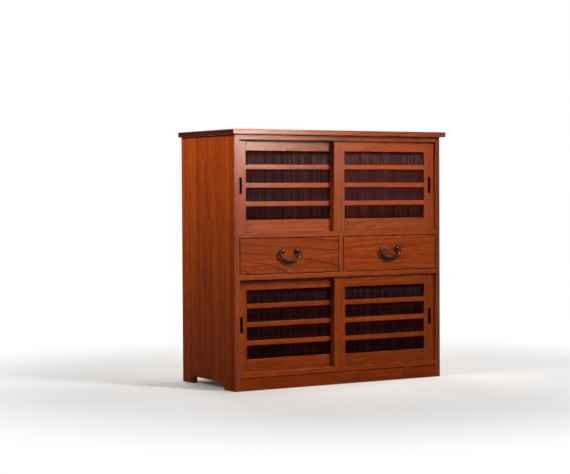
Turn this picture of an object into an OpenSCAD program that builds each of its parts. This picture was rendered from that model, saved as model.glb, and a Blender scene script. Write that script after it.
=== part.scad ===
// Japanese shoe chest: two slatted sliding doors with reed screens, a pair
// of drawers with bail handles, and two more sliding doors below.
// Millimetres, +Z up, the front faces -Y, the floor is at Z = 0.

/* [Case] */
// Width of the case over its side panels
case_w = 910; // [800:2:1100]
// Depth of the case from the front of its rails to its back
case_d = 408; // [340:1:460]
// Thickness of a side panel
side_t = 20; // [18:0.5:25]
// Thickness of the floors
floor_t = 12; // [10:0.5:15]
// Thickness of the back panel
back_t = 6; // [4:0.5:9]
// Depth of the grooves that hold floors, back panel and kick board in the sides
housing = 6; // [4:0.5:8]
// Length of a front foot
front_foot = 86; // [70:1:120]
// Length of a back foot
back_foot = 78; // [60:1:110]
// Height of the cut-out between the feet
foot_cut_h = 26; // [12:1:40]
// Width of the bevel along the front edges
edge_ease = 1.2; // [0.5:0.1:2]

/* [Top Board] */
// Thickness of the top board
top_t = 19; // [16:0.5:25]
// Overhang of the top board past each side panel
top_side = 14; // [5:0.5:25]
// Overhang of the top board past the front of the rails
top_front = 20; // [8:0.5:30]
// Width of the bevel round the top board
top_ease = 1.5; // [0.5:0.1:3]
// Number of tenons on each side panel that hold the top board
top_tenon_count = 3; // [2:1:4]
// Length of the tenons that hold the top board
top_tenon_l = 50; // [30:1:80]
// Height of the tenons that hold the top board
top_tenon_h = 9; // [6:0.5:12]

/* [Front Heights] */
// Height of the kick board
kick_h = 46; // [42:1:80]
// Height of the base rail
base_rail_h = 20; // [18:0.5:30]
// Height of the lower door opening
lower_open_h = 335; // [280:1:420]
// Height of the rail between the lower doors and the drawers
middle_rail_h = 18; // [17:0.5:30]
// Height of the drawer opening
drawer_open_h = 133; // [127:1:180]
// Height of the sill between the drawers and the upper doors
sill_rail_h = 20; // [18:0.5:30]
// Height of the upper door opening
upper_open_h = 335; // [280:1:420]
// Height of the rail under the top board
top_rail_h = 19; // [17:0.5:30]

/* [Rails] */
// Depth of the four front rails
rail_d = 62; // [60:1:80]
// Length of the rail tenons in the sides
tenon_l = 10; // [6:0.5:13]
// Shoulder above and below a rail tenon
tenon_shoulder = 4; // [2:0.5:5]
// Thickness of the kick board
kick_t = 18; // [12:0.5:24]
// How far the kick board lies behind the rails
kick_set = 1; // [0:0.5:6]
// Thickness of the two back rails
back_rail_t = 18; // [12:0.5:24]
// Height of the two back rails
back_rail_h = 28; // [20:1:36]
// Thickness of the divider between the drawers
divider_t = 18; // [16:0.5:25]
// Height of the divider tenons in the rails
divider_tenon = 5; // [3:0.5:6]
// Depth of the divider grooves in the floors
divider_groove = 3; // [2:0.5:5]

/* [Shelves] */
// Thickness of a shelf
shelf_t = 15; // [12:0.5:18]
// Height of the shelf underside above the floor of its compartment
shelf_rise = 165; // [130:1:200]
// Gap between the front rails and a shelf
shelf_set = 8; // [4:1:60]
// Clearance round a shelf
shelf_gap = 1; // [0.5:0.1:3]
// Height of a shelf cleat
cleat_h = 18; // [12:1:30]
// Width of a shelf cleat
cleat_w = 14; // [10:1:25]
// Distance of the ends of a cleat from the edges of its shelf
cleat_end = 8; // [2:1:30]

/* [Sliding Doors] */
// Thickness of a door
door_t = 20; // [19:0.2:21]
// How far the front doors lie behind the rails
door_set = 10; // [5:0.5:12]
// Gap between the front doors and the rear doors
door_gap = 3; // [2:0.1:4]
// Overlap of the two doors of a pair
door_overlap = 46; // [30:1:60]
// Gap that lets a door be lifted out of its sill
lift_gap = 5.7; // [4:0.1:8]
// Depth of the grooves in the sills
sill_groove = 3; // [2:0.1:3.6]
// Depth of the grooves over the doors
head_groove = 10; // [8.5:0.1:12]
// How far the tongues stand in the grooves over the doors
head_grip = 4.5; // [3:0.1:6]
// Thickness of the tongues that run in the grooves
tongue_t = 10; // [7:0.1:11]
// How far a tongue lies behind the face of its door
tongue_set = 7; // [5:0.1:9]
// Running clearance of the doors and drawers
run_gap = 0.3; // [0.2:0.05:0.6]
// Width of the door stiles
stile_w = 46; // [40:0.5:60]
// Height of the lower rail of a door
door_base_h = 45; // [38:0.5:60]
// Height of the upper rail of a door
door_head_h = 33; // [31:0.5:50]
// Length of the door rail tenons
door_tenon_l = 25; // [15:1:30]
// Thickness of the door rail tenons
door_tenon_t = 8; // [5:0.5:10]
// Number of slats in a door
slats = 3; // [2:1:5]
// Height of a slat
slat_h = 18; // [12:0.5:24]
// Thickness of a slat
slat_t = 8; // [5:0.5:9]
// How far the slats lie behind the face of their door
slat_set = 2; // [1.5:0.5:4]
// Spacing of the reeds
reed_pitch = 4; // [3:0.1:8]
// Height of a reed over its backing
reed_h = 2; // [1:0.1:2]
// Thickness of the backing of the reeds
reed_back = 2; // [1:0.1:3]
// How far reed panel and slats enter the frame
panel_in = 6; // [4:0.5:9]

/* [Door Pulls] */
// Width of a door pull
pull_w = 13; // [11:0.5:20]
// Height of a door pull
pull_h = 60; // [40:1:90]
// Depth of the cup of a door pull
pull_d = 9; // [6:0.5:12]
// Height of the middle of a door pull above the foot of its door
pull_rise = 170; // [120:1:220]
// Thickness of the metal of a door pull
pull_wall = 1; // [0.8:0.1:1.5]
// Thickness of the rim of a door pull
pull_lip = 0.8; // [0.5:0.1:1.2]
// Width of the rim that laps the stile
pull_rim = 1.2; // [0.8:0.1:2]

/* [Drawers] */
// Thickness of a drawer front
front_t = 20; // [18:0.5:25]
// Gap beside a drawer front
drawer_gap = 3; // [1:0.1:4]
// Gap above and below a drawer front
drawer_gap_z = 3; // [2:0.1:5]
// Gap between the back of a drawer and the back panel
drawer_back_gap = 30; // [10:1:100]
// Thickness of the sides and back of a drawer
box_t = 12; // [9:0.5:15]
// Height of the sides of a drawer
box_h = 120; // [90:1:122]
// Face left in front of the side of a drawer
lap_t = 8; // [5:0.5:8]
// Thickness of a drawer bottom
drawer_bottom_t = 5; // [3:0.5:8]
// Height of a drawer bottom above the foot of the sides
bottom_rise = 8; // [6:0.5:12]
// Depth of the grooves round a drawer bottom and back
box_groove = 5; // [3:0.5:6]
// Length of the sides behind the drawer back
box_tail = 10; // [6:0.5:20]

/* [Bail Handles] */
// Height of the handle pivot above the foot of the drawer front
handle_rise = 80; // [60:1:95]
// How far a handle sits left of the middle of its drawer
handle_shift = 6; // [0:1:30]
// Distance between the heads of the two posts
post_space = 63; // [50:1:90]
// Diameter of a post head
head_d = 15.5; // [13:0.1:18]
// Distance of the pivot from the drawer front
post_out = 13; // [12:0.1:20]
// Diameter of the neck behind a head
neck_d = 8; // [7:0.1:9]
// Diameter of the collar on the drawer front
collar_d = 11; // [9:0.1:14]
// Thickness of the collar and of the washer inside the drawer
collar_t = 1.5; // [1:0.1:3]
// Diameter of the stem through the drawer front
stem_d = 6; // [4:0.1:6.5]
// Clearance round the stem
stem_gap = 0.1; // [0.05:0.01:0.3]
// Diameter of the pins of a bail
pin_d = 5; // [4:0.1:6]
// Running clearance round the pins
pin_gap = 0.1; // [0.03:0.01:0.1]
// Depth of the pin bore past the middle of a head
pin_past = 3; // [1:0.1:4]
// How far a pin reaches into the bend of its bail
pin_hold = 2; // [1:0.1:4]
// Gap between a head and the bend of the bail
bail_gap = 0.75; // [0.4:0.05:2]
// Reach of the bend of the bail past its pins
bail_bend = 9; // [6:0.1:14]
// Drop of the middle of the bail below the pivot
bail_drop = 38.5; // [30:0.5:50]
// Height of the bail in the middle
bail_mid_h = 13; // [9:0.1:16]
// Thickness of the bail in the middle
bail_mid_t = 9; // [7:0.1:11]
// Thickness of the bail at its ends
bail_end_t = 6.8; // [6:0.1:8]

/* [Hidden] */
$fn = 48;
// Overcut of a pocket past the face that it opens in
cut = 1;
// Depth to which a tongue, tenon or web is rooted in the body that it grows from
root = 1;

WOOD = [0.56, 0.26, 0.12];
DARK_WOOD = [0.45, 0.18, 0.08];
PALE_WOOD = [0.80, 0.66, 0.46];
REED = [0.16, 0.10, 0.09];
IRON = [0.08, 0.08, 0.08];

// Levels, from the floor up
base_z = kick_h;
lower_z = base_z + base_rail_h;
middle_z = lower_z + lower_open_h;
drawer_z = middle_z + middle_rail_h;
sill_z = drawer_z + drawer_open_h;
upper_z = sill_z + sill_rail_h;
top_rail_z = upper_z + upper_open_h;
case_h = top_rail_z + top_rail_h;

// Places across and along the case
inner_w = case_w - 2 * side_t;
back_y = case_d - back_t;
front_reach = max(top_front, post_out + head_d / 2);
front_y = -(case_d - front_reach) / 2;
back_foot_z = lower_z - floor_t - back_rail_h;
rail_tenon_y = rail_d / 6;
divider_tenon_l = rail_d / 2;
floor_tongue = floor_t / 2;
top_tenon_t = side_t / 2;

// Doors
door_w = (inner_w + door_overlap) / 2 - run_gap;
rear_set = door_set + door_t + door_gap;
reed_set = slat_set + slat_t;
reed_t = reed_h + reed_back;
door_open_w = door_w - 2 * stile_w;

// Drawers
drawer_l = back_y - drawer_back_gap;
bay_w = (inner_w - divider_t) / 2;
drawer_w = bay_w - 2 * drawer_gap;
front_h = drawer_open_h - 2 * drawer_gap_z;
box_z = run_gap - drawer_gap_z;
box_in_w = drawer_w - 2 * box_t;
drawer_back_y = drawer_l - box_tail - box_t;
handle_x = drawer_w / 2 - handle_shift;

// Bail
bail_x = (post_space + head_d) / 2 + bail_gap;
pin_x = (post_space - pin_past) / 2;
bail_rings = 16;
bail_sides = 12;

// Block between two opposite corners
module block(low, high) {
    translate(low) cube(high - low);
}

// Everything inside is placed from the middle of the front of the case
module in_case() {
    translate([0, front_y, 0]) children();
}

// Everything inside is made on the right, and mirrored where side is -1
module on_side(side) {
    if (side < 0) mirror([1, 0, 0]) children();
    else children();
}

// Bar along X, centred, with its two front edges bevelled
module front_bar(w, d, h, ease) {
    translate([-w / 2, 0, 0]) rotate([90, 0, 90]) linear_extrude(w)
        polygon([[0, ease], [ease, 0], [d, 0], [d, h], [ease, h], [0, h - ease]]);
}

// Bar along Z with its two front edges bevelled
module front_post(w, d, h, ease) {
    linear_extrude(h)
        polygon([[ease, 0], [w - ease, 0], [w, ease], [w, d], [0, d], [0, ease]]);
}

// Board standing on edge with all four front edges bevelled
module front_board(w, d, h, ease) {
    intersection() {
        translate([w / 2, 0, 0]) front_bar(w, d, h, ease);
        front_post(w, d, h, ease);
    }
}

// The two grooves that the doors run in, h deep from level z
module door_grooves(z, h) {
    for (set = [door_set, rear_set])
        block([-inner_w / 2 - cut, set + tongue_set - run_gap, z],
              [inner_w / 2 + cut, set + tongue_set + tongue_t + run_gap, z + h]);
}

// Groove in the back of a rail for the tongue of the floor whose top is at z
module floor_tongue_groove(z) {
    block([-inner_w / 2 - cut, rail_d - floor_tongue, z - 3 * floor_t / 4],
          [inner_w / 2 + cut, rail_d + cut, z - floor_t / 4]);
}

// Tenons of a front rail
module rail_tenons(z, h) {
    for (side = [-1, 1]) on_side(side)
        block([inner_w / 2, rail_tenon_y, z + tenon_shoulder],
              [inner_w / 2 + tenon_l, rail_d - rail_tenon_y, z + h - tenon_shoulder]);
}

// Tenons of the divider in the rails below and above it
module divider_tenons() {
    block([-divider_t / 4, rail_tenon_y, drawer_z - divider_tenon],
          [divider_t / 4, rail_tenon_y + divider_tenon_l, drawer_z + root]);
    block([-divider_t / 4, rail_tenon_y, sill_z - root],
          [divider_t / 4, rail_tenon_y + divider_tenon_l, sill_z + divider_tenon]);
}

// Part of the divider behind the rails, let into the floors
module divider_web() {
    block([-divider_t / 2, rail_d, drawer_z - divider_groove],
          [divider_t / 2, back_y, upper_z - floor_t + divider_groove]);
}

// Floor board whose top is at z
module floor_board(z) {
    block([-inner_w / 2 - housing, rail_d, z - floor_t], [inner_w / 2 + housing, back_y, z]);
    block([-inner_w / 2, rail_d - floor_tongue, z - 3 * floor_t / 4],
          [inner_w / 2, rail_d + root, z - floor_t / 4]);
}

// Back panel in its rebates
module back_sheet() {
    block([-inner_w / 2 - housing, back_y, back_foot_z],
          [inner_w / 2 + housing, case_d, case_h]);
}

// Kick board with its ends let into the sides
module kick_sheet() {
    block([-inner_w / 2 - housing, kick_set, 0],
          [inner_w / 2 + housing, kick_set + kick_t, kick_h]);
}

// Rails along the back, under the top board and under the bottom board
module back_rail_bars() {
    for (z = [case_h - back_rail_h, back_foot_z]) {
        block([-inner_w / 2, back_y - back_rail_t, z], [inner_w / 2, back_y, z + back_rail_h]);
        for (side = [-1, 1]) on_side(side)
            block([inner_w / 2 - root, back_y - back_rail_t, z + tenon_shoulder],
                  [inner_w / 2 + tenon_l, back_y - back_rail_t / 3,
                   z + back_rail_h - tenon_shoulder]);
    }
}

// Tenons on one side panel that hold the top board
module top_tenons(side) {
    pitch = (back_y - rail_d) / top_tenon_count;
    for (i = [0:top_tenon_count - 1]) on_side(side)
        translate([case_w / 2 - side_t / 2, rail_d + pitch * (i + 0.5), case_h])
            block([-top_tenon_t / 2, -top_tenon_l / 2, -root],
                  [top_tenon_t / 2, top_tenon_l / 2, top_tenon_h]);
}

// Top board with a bevel round its front and ends
module top_board() {
    w = case_w + 2 * top_side;
    d = case_d + top_front;
    color(WOOD) in_case() difference() {
        translate([0, -top_front, case_h]) intersection() {
            front_bar(w, d, top_t, top_ease);
            translate([0, d, 0]) rotate([90, 0, 0]) linear_extrude(d) polygon([
                [-w / 2, top_ease], [-w / 2 + top_ease, 0], [w / 2 - top_ease, 0],
                [w / 2, top_ease], [w / 2, top_t - top_ease], [w / 2 - top_ease, top_t],
                [-w / 2 + top_ease, top_t], [-w / 2, top_t - top_ease]
            ]);
        }
        for (side = [-1, 1]) top_tenons(side);
    }
}

// Side panel; side is -1 on the left and 1 on the right
module side_panel(side) {
    color(DARK_WOOD) in_case() difference() {
        union() {
            translate([side < 0 ? -case_w / 2 : case_w / 2 - side_t, 0, 0])
                front_post(side_t, case_d, case_h, edge_ease);
            top_tenons(side);
        }
        block([-case_w, front_foot, -cut], [case_w, case_d - back_foot, foot_cut_h]);
        rail_tenons(base_z, base_rail_h);
        rail_tenons(middle_z, middle_rail_h);
        rail_tenons(sill_z, sill_rail_h);
        rail_tenons(top_rail_z, top_rail_h);
        for (z = [lower_z, drawer_z, upper_z]) floor_board(z);
        back_sheet();
        kick_sheet();
        back_rail_bars();
    }
}

// Rail over the upper doors, grooved from below
module top_rail() {
    color(WOOD) in_case() {
        difference() {
            translate([0, 0, top_rail_z]) front_bar(inner_w, rail_d, top_rail_h, edge_ease);
            door_grooves(top_rail_z - cut, head_groove + cut);
        }
        rail_tenons(top_rail_z, top_rail_h);
    }
}

// Sill under the upper doors, grooved from above
module sill_rail() {
    color(WOOD) in_case() {
        difference() {
            translate([0, 0, sill_z]) front_bar(inner_w, rail_d, sill_rail_h, edge_ease);
            door_grooves(upper_z - sill_groove, sill_groove + cut);
            floor_tongue_groove(upper_z);
            divider_tenons();
        }
        rail_tenons(sill_z, sill_rail_h);
    }
}

// Rail under the drawers, grooved from below for the lower doors
module middle_rail() {
    color(WOOD) in_case() {
        difference() {
            translate([0, 0, middle_z]) front_bar(inner_w, rail_d, middle_rail_h, edge_ease);
            door_grooves(middle_z - cut, head_groove + cut);
            floor_tongue_groove(drawer_z);
            divider_tenons();
        }
        rail_tenons(middle_z, middle_rail_h);
    }
}

// Rail under the lower doors, grooved from above
module base_rail() {
    color(WOOD) in_case() {
        difference() {
            translate([0, 0, base_z]) front_bar(inner_w, rail_d, base_rail_h, edge_ease);
            door_grooves(lower_z - sill_groove, sill_groove + cut);
            floor_tongue_groove(lower_z);
        }
        rail_tenons(base_z, base_rail_h);
    }
}

// Board that closes the foot of the front
module kick_board() {
    color(DARK_WOOD) in_case() kick_sheet();
}

// Upright board between the two drawers
module drawer_divider() {
    color(WOOD) in_case() {
        translate([-divider_t / 2, 0, drawer_z])
            front_post(divider_t, rail_d + root, drawer_open_h, edge_ease);
        divider_tenons();
        divider_web();
    }
}

// Floor of the upper compartment
module upper_floor() {
    color(PALE_WOOD) in_case() difference() {
        floor_board(upper_z);
        divider_web();
    }
}

// Board that the drawers run on
module drawer_floor() {
    color(PALE_WOOD) in_case() difference() {
        floor_board(drawer_z);
        divider_web();
    }
}

// Floor of the lower compartment
module bottom_board() {
    color(PALE_WOOD) in_case() floor_board(lower_z);
}

// Thin panel that closes the back
module back_panel() {
    color(PALE_WOOD) in_case() back_sheet();
}

// The two rails behind the compartments
module back_rails() {
    color(PALE_WOOD) in_case() back_rail_bars();
}

// Shelf in the compartment whose floor is at z
module shelf(z) {
    color(PALE_WOOD) in_case() translate([0, rail_d + shelf_set, z + shelf_rise])
        front_bar(inner_w - 2 * shelf_gap, back_y - rail_d - shelf_set - shelf_gap, shelf_t,
                  edge_ease);
}

// Cleats on the sides under both shelves
module shelf_cleats() {
    for (z = [lower_z, upper_z], side = [-1, 1])
        color(PALE_WOOD) in_case() on_side(side)
            block([inner_w / 2 - cleat_w, rail_d + shelf_set + cleat_end, z + shelf_rise - cleat_h],
                  [inner_w / 2, back_y - shelf_gap - cleat_end, z + shelf_rise]);
}

// Height of a door without its tongues
function door_h(upper) = (upper ? upper_open_h : lower_open_h) - lift_gap - run_gap;

// Height of the space between the rails of a door
function door_open_h(upper) = door_h(upper) - door_base_h - door_head_h;

// Level of the foot of slat number i above the foot of its door
function slat_z(upper, i) =
    let (gap = (door_open_h(upper) - slats * slat_h) / (slats + 1))
    door_base_h + gap + i * (slat_h + gap);

// Everything inside is placed from the lower left front corner of a door
module in_door(upper, right) {
    in_case() translate([
        right ? inner_w / 2 - run_gap - door_w : -inner_w / 2 + run_gap,
        right ? door_set : rear_set,
        (upper ? upper_z : lower_z) + run_gap
    ]) children();
}

// Tongue under a door, or over it, from x0 to x1
module door_tongue(upper, base, x0, x1) {
    block([x0, tongue_set, base ? -sill_groove : door_h(upper) - root],
          [x1, tongue_set + tongue_t, base ? root : door_h(upper) + lift_gap + head_grip]);
}

// Tenons of the two rails of a door
module door_rail_tenons(upper, base) {
    z0 = base ? 2 * tenon_shoulder : door_h(upper) - door_head_h + panel_in + tenon_shoulder;
    z1 = base ? door_base_h - panel_in - tenon_shoulder : door_h(upper) - 2 * tenon_shoulder;
    for (x = [stile_w - door_tenon_l, door_w - stile_w - root])
        block([x, tongue_set, z0], [x + door_tenon_l + root, tongue_set + door_tenon_t, z1]);
}

// Slats of a door with their ends in the stiles
module slat_bars(upper) {
    for (i = [0:slats - 1])
        translate([door_w / 2, slat_set, slat_z(upper, i)])
            front_bar(door_open_w + 2 * panel_in, slat_t, slat_h, edge_ease);
}

// Space that the reed panel fills in the frame
module reed_space(upper) {
    block([stile_w - panel_in, reed_set, door_base_h - panel_in],
          [door_w - stile_w + panel_in, reed_set + reed_t,
           door_h(upper) - door_head_h + panel_in]);
}

// Cup of a door pull, from its rim in, or the pocket for it
module pull_cup(depth, wall) {
    block([-pull_w / 2 + pull_rim + wall, -cut - pull_lip, -pull_h / 2 + pull_rim + wall],
          [pull_w / 2 - pull_rim - wall, depth, pull_h / 2 - pull_rim - wall]);
}

// Middle of the pull on the outer stile of a door
module at_pull(right) {
    translate([right ? door_w - stile_w / 2 : stile_w / 2, 0, pull_rise]) children();
}

// Stile of a door; the outer one of a pair carries the pull
module door_stile(upper, right, right_stile) {
    color(WOOD) in_door(upper, right) difference() {
        union() {
            translate([right_stile ? door_w - stile_w : 0, 0, 0])
                front_post(stile_w, door_t, door_h(upper), edge_ease);
            for (base = [false, true])
                door_tongue(upper, base, right_stile ? door_w - stile_w : 0,
                            right_stile ? door_w : stile_w);
        }
        door_rail_tenons(upper, true);
        door_rail_tenons(upper, false);
        slat_bars(upper);
        reed_space(upper);
        if (right == right_stile) at_pull(right) pull_cup(pull_d, 0);
    }
}

// Rail of a door; base is true for the lower one
module door_rail(upper, right, base) {
    h = base ? door_base_h : door_head_h;
    color(WOOD) in_door(upper, right) {
        difference() {
            union() {
                translate([door_w / 2, 0, base ? 0 : door_h(upper) - door_head_h])
                    front_bar(door_open_w, door_t, h, edge_ease);
                door_tongue(upper, base, stile_w, door_w - stile_w);
            }
            reed_space(upper);
        }
        door_rail_tenons(upper, base);
    }
}

// Slats in front of the reeds
module door_slats(upper, right) {
    color(WOOD) in_door(upper, right) slat_bars(upper);
}

// Reed panel: half-round reeds side by side on a thin backing
module door_reeds(upper, right) {
    w = door_open_w + 2 * panel_in;
    count = floor(w / reed_pitch);
    reed_w = w / count;
    round_steps = 4;
    rounds = [
        for (i = [0:count - 1], k = [0:round_steps - 1])
            let (angle = 180 * k / round_steps)
            [reed_w * (i + 0.5 - cos(angle) / 2), reed_h * (1 - sin(angle))]
    ];
    color(REED) in_door(upper, right)
        translate([stile_w - panel_in, reed_set, door_base_h - panel_in])
            linear_extrude(door_open_h(upper) + 2 * panel_in)
                polygon(concat(rounds, [[w, reed_h], [w, reed_t], [0, reed_t]]));
}

// Flush pull: a cup with a thin rim on the face of the stile
module door_pull(upper, right) {
    color(IRON) in_door(upper, right) at_pull(right) difference() {
        union() {
            translate([-pull_w / 2, -pull_lip, -pull_h / 2])
                front_board(pull_w, pull_lip, pull_h, pull_lip / 2);
            intersection() {
                pull_cup(pull_d, 0);
                block([-pull_w, -pull_lip / 2, -pull_h], [pull_w, pull_d, pull_h]);
            }
        }
        pull_cup(pull_d - pull_wall, pull_wall);
    }
}

// Everything inside is placed from the lower left front corner of a drawer front
module in_drawer(right) {
    in_case() translate([
        right ? divider_t / 2 + drawer_gap : -divider_t / 2 - drawer_gap - drawer_w,
        0,
        drawer_z + drawer_gap_z
    ]) children();
}

// One side of a drawer, with its front end lapped by the drawer front
module box_side_bar(right_side) {
    x = right_side ? drawer_w - box_t : 0;
    block([x, lap_t, box_z], [x + box_t, drawer_l, box_z + box_h]);
}

// Drawer bottom with its edges in the grooves
module box_bottom_sheet() {
    block([box_t - box_groove, front_t - box_groove, box_z + bottom_rise],
          [drawer_w - box_t + box_groove, drawer_back_y + box_t,
           box_z + bottom_rise + drawer_bottom_t]);
}

// Drawer back, standing on the bottom between the sides
module box_back_bar() {
    block([box_t - box_groove, drawer_back_y, box_z + bottom_rise + drawer_bottom_t],
          [drawer_w - box_t + box_groove, drawer_back_y + box_t, box_z + box_h]);
}

// Drawer front with lapped ends and holes for the handle stems
module drawer_front(right) {
    color(WOOD) in_drawer(right) difference() {
        front_board(drawer_w, front_t, front_h, edge_ease);
        for (right_side = [false, true]) box_side_bar(right_side);
        box_bottom_sheet();
        at_posts() rotate([-90, 0, 0])
            translate([0, 0, -cut]) cylinder(d = stem_d + 2 * stem_gap, h = front_t + 2 * cut);
    }
}

// Side of a drawer
module drawer_side(right, right_side) {
    color(PALE_WOOD) in_drawer(right) difference() {
        box_side_bar(right_side);
        box_bottom_sheet();
        box_back_bar();
    }
}

// Back of a drawer
module drawer_back(right) {
    color(PALE_WOOD) in_drawer(right) box_back_bar();
}

// Bottom of a drawer
module drawer_bottom(right) {
    color(PALE_WOOD) in_drawer(right) box_bottom_sheet();
}

// The two places on the drawer front where the posts go through
module at_posts() {
    for (side = [-1, 1])
        translate([handle_x + side * post_space / 2, 0, handle_rise]) children();
}

// Posts with round heads, bored from outside for the pins of the bail
module handle_posts(right) {
    bore_l = head_d / 2 + pin_past + cut;
    color(IRON) in_drawer(right) for (side = [-1, 1])
        translate([handle_x + side * post_space / 2, 0, handle_rise]) difference() {
            union() {
                // The seam of the ball faces the front, clear of the bore and the neck
                translate([0, -post_out, 0]) rotate([0, 0, -90]) sphere(d = head_d);
                rotate([90, 0, 0]) cylinder(d = neck_d, h = post_out);
                rotate([90, 0, 0]) cylinder(d = collar_d, h = collar_t);
                translate([0, -collar_t, 0]) rotate([-90, 0, 0])
                    cylinder(d = stem_d, h = front_t + 2 * collar_t);
                translate([0, front_t, 0]) rotate([-90, 0, 0])
                    cylinder(d = 2 * stem_d, h = collar_t);
            }
            translate([-side * pin_past, -post_out, 0]) rotate([0, side * 90, 0])
                cylinder(d = pin_d + 2 * pin_gap, h = bore_l);
        }
}

// Middle line of one half of the bail, from the pin at t = 0 to the middle at t = 1
function bail_point(t) =
    pow(1 - t, 3) * [bail_x, 0]
    + 3 * pow(1 - t, 2) * t * [bail_x + bail_bend, 0]
    + 3 * (1 - t) * t * t * [bail_x + bail_bend, -bail_drop]
    + pow(t, 3) * [0, -bail_drop];

// Direction of the middle line at t
function bail_way(t) =
    3 * pow(1 - t, 2) * [bail_bend, 0]
    + 6 * (1 - t) * t * [0, -bail_drop]
    + 3 * t * t * [-bail_x - bail_bend, 0];

// Oval section of the bail at t, mirrored by side
function bail_ring(t, side) =
    let (
        way = bail_way(t),
        across = [-way[1], way[0]] / norm(way),
        swell = pow(sin(90 * t), 2),
        half_h = (bail_end_t + (bail_mid_h - bail_end_t) * swell) / 2,
        half_t = (bail_end_t + (bail_mid_t - bail_end_t) * swell) / 2,
        mid = bail_point(t)
    )
    [
        for (k = [0:bail_sides - 1])
            let (
                angle = 360 * k / bail_sides,
                out = mid + half_h * cos(angle) * across
            )
            [side * out[0], -half_t * sin(angle), out[1]]
    ];

// Bail: a swept bar between two round pins that turn in the heads
module drawer_bail(right) {
    rings = [
        for (i = [0:2 * bail_rings])
            i <= bail_rings ? bail_ring(i / bail_rings, 1) : bail_ring(2 - i / bail_rings, -1)
    ];
    last = len(rings) - 1;
    color(IRON) in_drawer(right)
        translate([handle_x, -post_out, handle_rise]) {
            polyhedron(
                points = [for (ring = rings) each ring],
                faces = concat(
                    [[for (k = [0:bail_sides - 1]) k]],
                    [for (i = [0:last - 1], k = [0:bail_sides - 1])
                        [i * bail_sides + k, (i + 1) * bail_sides + k,
                         i * bail_sides + (k + 1) % bail_sides]],
                    [for (i = [0:last - 1], k = [0:bail_sides - 1])
                        [(i + 1) * bail_sides + k, (i + 1) * bail_sides + (k + 1) % bail_sides,
                         i * bail_sides + (k + 1) % bail_sides]],
                    [[for (k = [bail_sides - 1:-1:0]) last * bail_sides + k]]
                )
            );
            for (side = [-1, 1]) translate([side * pin_x, 0, 0])
                rotate([0, side * 90, 0]) cylinder(d = pin_d, h = bail_x + pin_hold - pin_x);
        }
}

top_board();
side_panel(-1);  // left_side
side_panel(1);  // right_side
top_rail();
sill_rail();
middle_rail();
base_rail();
kick_board();
drawer_divider();
upper_floor();
drawer_floor();
bottom_board();
back_panel();
back_rails();
shelf(upper_z);  // upper_shelf
shelf(lower_z);  // lower_shelf
shelf_cleats();
door_stile(true, false, false);  // upper_left_door_left_stile
door_stile(true, false, true);  // upper_left_door_right_stile
door_rail(true, false, false);  // upper_left_door_top_rail
door_rail(true, false, true);  // upper_left_door_bottom_rail
door_slats(true, false);  // upper_left_door_slats
door_reeds(true, false);  // upper_left_door_reeds
door_pull(true, false);  // upper_left_door_pull
door_stile(true, true, false);  // upper_right_door_left_stile
door_stile(true, true, true);  // upper_right_door_right_stile
door_rail(true, true, false);  // upper_right_door_top_rail
door_rail(true, true, true);  // upper_right_door_bottom_rail
door_slats(true, true);  // upper_right_door_slats
door_reeds(true, true);  // upper_right_door_reeds
door_pull(true, true);  // upper_right_door_pull
door_stile(false, false, false);  // lower_left_door_left_stile
door_stile(false, false, true);  // lower_left_door_right_stile
door_rail(false, false, false);  // lower_left_door_top_rail
door_rail(false, false, true);  // lower_left_door_bottom_rail
door_slats(false, false);  // lower_left_door_slats
door_reeds(false, false);  // lower_left_door_reeds
door_pull(false, false);  // lower_left_door_pull
door_stile(false, true, false);  // lower_right_door_left_stile
door_stile(false, true, true);  // lower_right_door_right_stile
door_rail(false, true, false);  // lower_right_door_top_rail
door_rail(false, true, true);  // lower_right_door_bottom_rail
door_slats(false, true);  // lower_right_door_slats
door_reeds(false, true);  // lower_right_door_reeds
door_pull(false, true);  // lower_right_door_pull
drawer_front(false);  // left_drawer_front
drawer_side(false, false);  // left_drawer_left_side
drawer_side(false, true);  // left_drawer_right_side
drawer_back(false);  // left_drawer_back
drawer_bottom(false);  // left_drawer_bottom
handle_posts(false);  // left_drawer_handle_posts
drawer_bail(false);  // left_drawer_bail
drawer_front(true);  // right_drawer_front
drawer_side(true, false);  // right_drawer_left_side
drawer_side(true, true);  // right_drawer_right_side
drawer_back(true);  // right_drawer_back
drawer_bottom(true);  // right_drawer_bottom
handle_posts(true);  // right_drawer_handle_posts
drawer_bail(true);  // right_drawer_bail
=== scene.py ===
"""Japanese shoe chest: stained wood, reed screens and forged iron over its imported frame."""

import math
import random

import bpy
from mathutils import Matrix, Vector, noise


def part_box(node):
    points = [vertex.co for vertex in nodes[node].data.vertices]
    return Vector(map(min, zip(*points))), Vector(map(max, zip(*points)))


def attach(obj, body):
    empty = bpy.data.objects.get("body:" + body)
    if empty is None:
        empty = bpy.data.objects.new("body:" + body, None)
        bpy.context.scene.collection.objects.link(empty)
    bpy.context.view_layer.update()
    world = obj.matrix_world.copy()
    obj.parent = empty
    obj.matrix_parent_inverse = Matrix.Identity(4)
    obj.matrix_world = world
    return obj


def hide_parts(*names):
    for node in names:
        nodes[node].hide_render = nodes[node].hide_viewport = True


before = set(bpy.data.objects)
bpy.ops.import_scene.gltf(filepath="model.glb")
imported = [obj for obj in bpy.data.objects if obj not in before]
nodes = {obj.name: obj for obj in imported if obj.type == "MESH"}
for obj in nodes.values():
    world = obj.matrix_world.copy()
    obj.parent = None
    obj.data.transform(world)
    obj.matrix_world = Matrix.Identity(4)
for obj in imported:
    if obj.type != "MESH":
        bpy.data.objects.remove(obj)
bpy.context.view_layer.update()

MM = 0.001
AXES = {"X": 0, "Y": 1, "Z": 2}
DOORS = ("upper_left_door", "upper_right_door", "lower_left_door", "lower_right_door")
DRAWERS = ("left_drawer", "right_drawer")


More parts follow.
